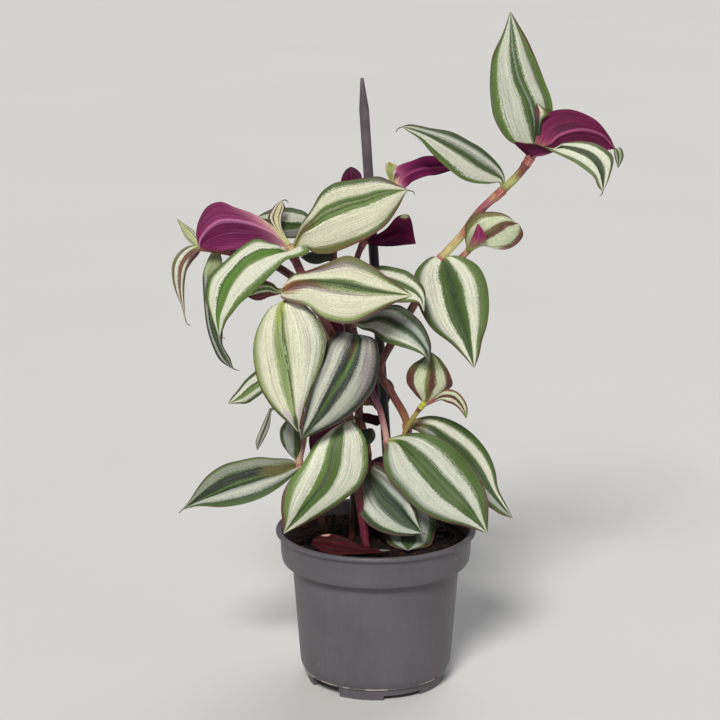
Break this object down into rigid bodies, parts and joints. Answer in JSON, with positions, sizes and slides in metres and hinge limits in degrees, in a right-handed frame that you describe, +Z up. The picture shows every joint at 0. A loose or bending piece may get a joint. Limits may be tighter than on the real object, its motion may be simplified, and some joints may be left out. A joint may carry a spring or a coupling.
{
  "type": "potted tradescantia",
  "caption": "Potted tradescantia: silver-striped green leaves with purple undersides on arching stems, held by a thin stake, in a round grey plastic nursery pot.",
  "frame": {"origin": "middle of the pot's underside, on the surface it stands on", "axes": "+Z up along the pot's axis, +X to the right and +Y to the back when the plant is seen from the picture's side"},
  "size_m": [0.2227, 0.1129, 0.3516],
  "materials": {
    "pot_plastic": "matte grey moulded plastic, lightly scuffed on the lip",
    "stake_plastic": "dark grey-purple plastic",
    "potting_soil": "damp crumbly potting mix with bark pieces",
    "red_stem": "smooth succulent stem, dark red to pink, with papery sheaths at the nodes",
    "green_stem": "smooth young stem, yellow-green",
    "striped_leaf": "semi-matte leaf: green mid band and edges, two silver bands, fine lengthwise grain",
    "bronze_leaf": "young leaf: brown and cream stripes",
    "purple_leaf": "leaf turned to its magenta-purple underside, with fine parallel veins",
    "dry_leaf": "fallen leaf, dull wine red"
  },
  "bodies": {
    "root": {"pot": "pot_plastic", "stake": "stake_plastic", "soil": "potting_soil", "stem_right": "red_stem", "stem_left": "red_stem", "stem_middle": "red_stem", "stem_dark": "red_stem", "stem_low_left": "red_stem", "stem_far_left": "red_stem", "shoot_axil": "red_stem", "shoot_side": "green_stem", "stem_back": "red_stem", "leaf_top": "striped_leaf", "leaf_arching": "purple_leaf", "leaf_lower_right": "striped_leaf", "leaf_young_top": "bronze_leaf", "leaf_reaching": "striped_leaf", "leaf_small_right": "bronze_leaf", "bract_right": "purple_leaf", "leaf_hanging_right": "striped_leaf", "leaf_purple_left": "purple_leaf", "leaf_drooping": "striped_leaf", "leaf_bud_left": "bronze_leaf", "leaf_tip_down": "bronze_leaf", "leaf_tip_up": "bronze_leaf", "leaf_long_left": "striped_leaf", "leaf_large_upper": "striped_leaf", "leaf_behind_left": "striped_leaf", "leaf_large_middle": "striped_leaf", "leaf_large_hanging": "striped_leaf", "leaf_hanging_middle": "striped_leaf", "leaf_curling_low": "striped_leaf", "leaf_curling_high": "striped_leaf", "leaf_small_bronze": "bronze_leaf", "leaf_purple_back": "purple_leaf", "leaf_purple_top": "purple_leaf", "leaf_bud_middle": "striped_leaf", "leaf_purple_middle": "purple_leaf", "leaf_edge_on": "striped_leaf", "leaf_low_left": "striped_leaf", "leaf_left_small": "striped_leaf", "leaf_left_sliver": "striped_leaf", "leaf_upright": "striped_leaf", "leaf_front": "striped_leaf", "leaf_shaded": "striped_leaf", "leaf_large_right": "striped_leaf", "leaf_behind_right": "striped_leaf", "leaf_in_pot": "striped_leaf", "leaf_dry": "dry_leaf", "leaf_dark_small": "striped_leaf", "leaf_dark_back": "purple_leaf", "leaf_bronze_up": "bronze_leaf", "leaf_bronze_side": "bronze_leaf", "leaf_back_low": "striped_leaf", "leaf_back_left": "striped_leaf", "leaf_back_right": "striped_leaf", "leaf_back_upper": "striped_leaf", "leaf_back_tip": "striped_leaf", "leaf_back_top": "striped_leaf"}
  },
  "joints": []
}
